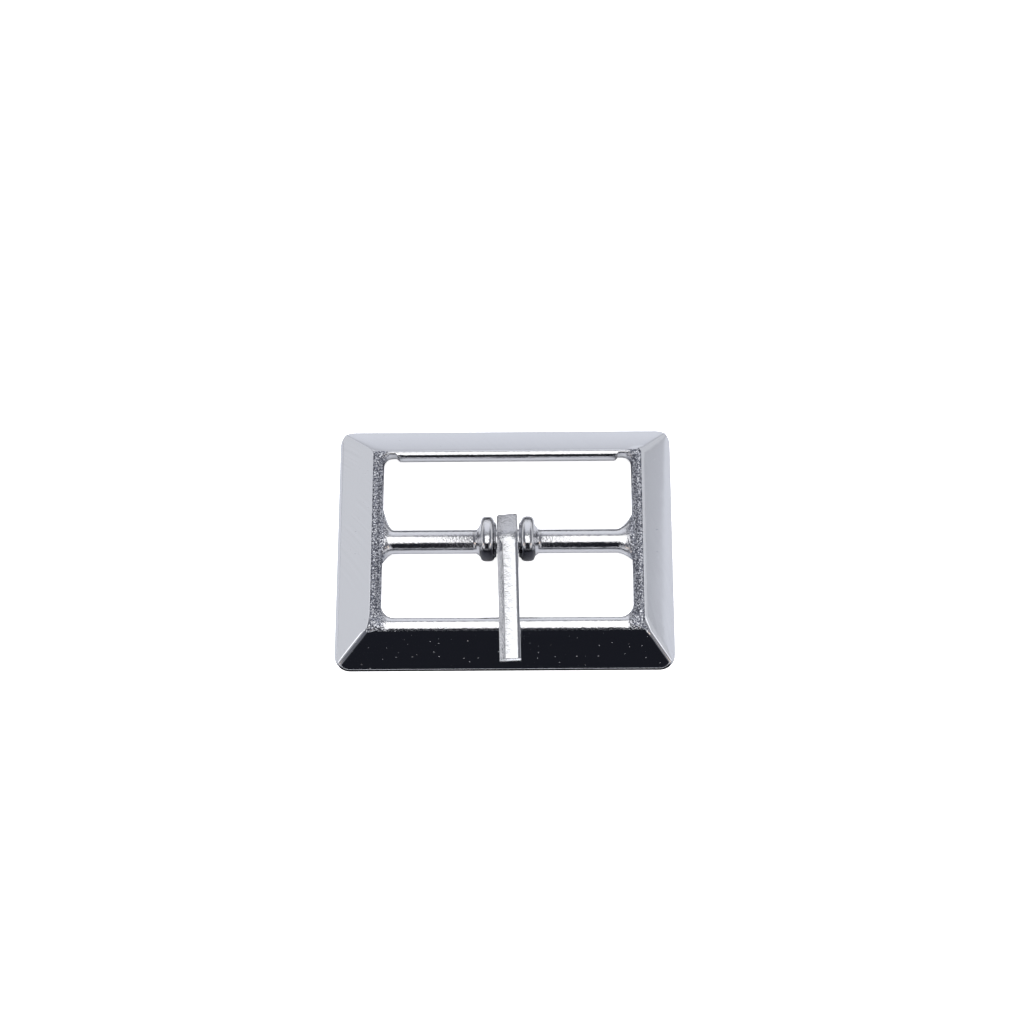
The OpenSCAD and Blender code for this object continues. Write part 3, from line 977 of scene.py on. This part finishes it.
def studio_world(studio):
    """Light from all round as the metal sees it, by height round the vertical plane through the camera: a
    dark front, a softbox overhead, a pale wall behind, and pale light low down at the sides."""
    world = bpy.data.worlds.new("studio")
    world.use_nodes = True
    tree = world.node_tree
    background = tree.nodes["Background"]

    def add(kind, feeds=None, **settings):
        node = tree.nodes.new(kind)
        for key, value in settings.items():
            setattr(node, key, value)
        for key, feed in (feeds or {}).items():
            if isinstance(feed, bpy.types.NodeSocket):
                tree.links.new(feed, node.inputs[key])
            else:
                node.inputs[key].default_value = feed
        return node.outputs

    def math_node(operation, a, b=0.0):
        return add("ShaderNodeMath", {0: a, 1: b}, operation=operation)[0]

    def step(value, low, high):
        return add(
            "ShaderNodeMapRange", {"Value": value, "From Min": low, "From Max": high},
            interpolation_type="SMOOTHSTEP",
        )["Result"]

    x, y, z = add("ShaderNodeSeparateXYZ", {0: add("ShaderNodeTexCoord")["Generated"]})
    turn = math_node("ARCTAN2", z, math_node("MULTIPLY", y, -1.0))
    turn = math_node("DIVIDE", turn, math.pi)
    band = tree.nodes.new("ShaderNodeValToRGB")
    tree.links.new(turn, band.inputs["Fac"])
    dark = (0.012, 0.013, 0.018)
    stops = [
        (0, dark), (42, dark), (52, (0.03, 0.032, 0.04)), (57, (0.08, 0.08, 0.09)), (61,
                                                                                     (studio.softbox,) * 3),
        (115, (studio.softbox,) * 3), (117.5, (0.30, 0.31, 0.33)), (121, (0.16, 0.165, 0.18)),
        (126, (0.40, 0.41, 0.44)), (137, (0.78, 0.80, 0.86)), (165, (0.92, 0.94, 1.0)), (180,
                                                                                         (0.78, 0.79, 0.82)),
    ]
    elements = band.color_ramp.elements
    for _ in range(len(stops) - 2):
        elements.new(0.5)
    for element, (degrees, tint) in zip(elements, stops):
        element.position = degrees / 180
        element.color = (*tint, 1)
    # Sides: pale near the horizon, dark half way up.
    height = math_node("ARCSINE", z)
    left = step(height, math.radians(31), math.radians(38))
    right = step(height, math.radians(22), math.radians(34))
    is_right = step(x, -0.1, 0.1)
    shade = add("ShaderNodeMix", {"Factor": is_right, "A": left, "B": right}, data_type="FLOAT")[0]

    def mixed(factor, a, b):
        node = tree.nodes.new("ShaderNodeMix")
        node.data_type = "RGBA"
        for socket, feed in zip((0, 6, 7), (factor, a, b)):
            if isinstance(feed, bpy.types.NodeSocket):
                tree.links.new(feed, node.inputs[socket])
            else:
                node.inputs[socket].default_value = feed
        return node.outputs[2]

    low = mixed(step(height, math.radians(15), math.radians(20)), (0.745, 0.755, 0.785, 1),
                (0.42, 0.425, 0.45, 1))
    pale = mixed(is_right, low, (0.70, 0.71, 0.74, 1))
    dusk = mixed(is_right, (0.16, 0.165, 0.19, 1), (0.22, 0.225, 0.25, 1))
    side = mixed(shade, pale, dusk)
    # A window low on each side, a little to the front.
    facing = math_node("ARCTAN2", math_node("ABSOLUTE", x), math_node("MULTIPLY", y, -1.0))
    window = math_node("MULTIPLY", step(facing, math.radians(62), math.radians(68)),
                       step(facing, math.radians(116), math.radians(111)))
    window = math_node("MULTIPLY", window,
                       math_node("MULTIPLY", step(height, math.radians(11), math.radians(13)),
                                                     step(height, math.radians(19), math.radians(17))))
    side = mixed(window, side, (1.6, 1.6, 1.62, 1))
    lamp = math_node("MULTIPLY", step(facing, math.radians(38), math.radians(42)),
                     step(facing, math.radians(54), math.radians(50)))
    lamp = math_node("MULTIPLY", lamp,
                     math_node("MULTIPLY", step(height, math.radians(18), math.radians(22)),
                                                 step(height, math.radians(40), math.radians(36))))
    side = mixed(lamp, side, (1.5, 1.25, 1.05, 1))
    beside = step(math_node("ABSOLUTE", x), 0.2, 0.3)
    whole = mixed(beside, band.outputs["Color"], side)
    tree.links.new(whole, background.inputs["Color"])
    return world


def build_disc(name, z, tint, glow=0.0):
    """A large matt disc at a height, with a slight speckle in its finish."""
    m = Shader("studio_" + name)
    m.surface.inputs["Base Color"].default_value = (*tint, 1)
    m.feed("Roughness", m.ramp(m.noise(0.6 * MM), 0.3, 0.7, 0.55, 0.65))
    m.surface.inputs["Specular IOR Level"].default_value = 0.1
    m.surface.inputs["Emission Color"].default_value = (1, 1, 1, 1)
    m.surface.inputs["Emission Strength"].default_value = glow
    work = bmesh.new()
    bmesh.ops.create_circle(work, cap_ends=True, segments=96, radius=1.5)
    mesh = bpy.data.meshes.new(name)
    work.to_mesh(mesh)
    work.free()
    mesh.transform(Matrix.Translation((0, 0, z)))
    piece = new_piece(name, mesh, m.material)
    return piece, m


def build_floor(studio):
    """A plain pale light table, and the greyer card that stands for it in the metal's reflections."""
    floor, _ = build_disc("floor", -0.02 * MM, studio.floor, studio.glow)
    floor.visible_glossy = False
    card, m = build_disc("card", -0.01 * MM, studio.card)
    card.visible_camera = False
    card.visible_diffuse = False
    card.visible_shadow = False
    # The card is black in front of the buckle, a painted shadow for the shaded floor there, apart from a
    # narrow strip of painted light that only the prong's tip reflects. Behind the buckle it fades to 0.7
    # further back.
    _, y, _ = m.add("ShaderNodeSeparateXYZ", {0: m.place})
    painted_shadow = (0.01, 0.01, 0.012, 1)
    painted_light_strip = (0.95, 0.97, 1.0, 1)
    blur = 0.3 * MM
    card_front = -18.3 * MM
    strip_front = -23.2 * MM
    strip_back = -20.8 * MM
    behind = m.math("MULTIPLY", m.ramp(y, card_front, card_front + blur),
                    m.ramp(y, 23 * MM, 40 * MM, 1.0, 0.7))
    strip = m.math("MULTIPLY", m.ramp(y, strip_front, strip_front + blur),
                   m.ramp(y, strip_back - blur, strip_back, 1.0, 0.0))
    tinted = m.mix_colour(behind, painted_shadow, (*studio.card, 1))
    m.feed("Base Color", m.mix_colour(strip, tinted, painted_light_strip))


def aim_camera(studio):
    """A camera in front of the buckle, well above it, with the frame level in the picture."""
    camera = bpy.data.cameras.new("camera")
    camera.lens = studio.lens
    camera.sensor_width = 36
    camera.clip_start = 0.01
    camera.clip_end = 20
    holder = bpy.data.objects.new("camera", camera)
    right = Vector((0.9998, 0.0005, -0.0177)).normalized()
    up = Vector((0.0066, 0.9172, 0.3984))
    up = (up - right * up.dot(right)).normalized()
    back = right.cross(up)
    turn = Matrix((right, up, back)).transposed().to_4x4()
    holder.matrix_world = Matrix.Translation(Vector((7.239, -144.448, 346.447)) * MM) @ turn
    bpy.context.collection.objects.link(holder)
    bpy.context.scene.camera = holder


class BUCKLE_OT_studio(bpy.types.Operator):
    """Sets up the floor, the soft light and the camera"""

    bl_idname = "buckle.studio"
    bl_label = "Studio"

    def execute(self, context):
        studio = context.scene.buckle_studio
        context.scene.world = studio_world(studio)
        context.scene.view_settings.view_transform = "Standard"
        build_floor(studio)
        lamp = bpy.data.lights.new("floor_light", "AREA")
        lamp.shape = "DISK"
        lamp.size = 0.9
        lamp.energy = studio.fill
        holder = bpy.data.objects.new("floor_light", lamp)
        holder.location = (0, 0.1, 0.8)
        holder.visible_glossy = False
        context.collection.objects.link(holder)
        aim_camera(studio)
        return {"FINISHED"}


class BUCKLE_PT_panel(bpy.types.Panel):
    """Lists the buckle's pieces and its studio"""

    bl_idname = "BUCKLE_PT_panel"
    bl_label = "Belt buckle"
    bl_space_type = "VIEW_3D"
    bl_region_type = "UI"
    bl_category = "Buckle"

    def draw(self, context):
        for operator in OPERATORS:
            self.layout.operator(operator.bl_idname)
        for group in GROUPS:
            settings = getattr(context.scene, group)
            box = self.layout.box()
            for name in settings.bl_rna.properties.keys():
                if name not in {"rna_type", "name"}:
                    box.prop(settings, name)


GROUPS = {
    "buckle_casting": CastingSizes,
    "buckle_prong": ProngSizes,
    "buckle_finish": Finish,
    "buckle_studio": StudioSettings,
}
OPERATORS = (BUCKLE_OT_studio, BUCKLE_OT_casting, BUCKLE_OT_prong)


def register():
    for group in GROUPS.values():
        bpy.utils.register_class(group)
    for scene_property, group in GROUPS.items():
        setattr(bpy.types.Scene, scene_property, PointerProperty(type=group))
    for operator in OPERATORS:
        bpy.utils.register_class(operator)
    bpy.utils.register_class(BUCKLE_PT_panel)


def unregister():
    bpy.utils.unregister_class(BUCKLE_PT_panel)
    for operator in reversed(OPERATORS):
        bpy.utils.unregister_class(operator)
    for scene_property, group in GROUPS.items():
        delattr(bpy.types.Scene, scene_property)
        bpy.utils.unregister_class(group)


def main():
    register()
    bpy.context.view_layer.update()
    bpy.ops.buckle.studio()
    bpy.ops.buckle.casting()
    bpy.ops.buckle.prong()


if __name__ == "__main__":
    main()
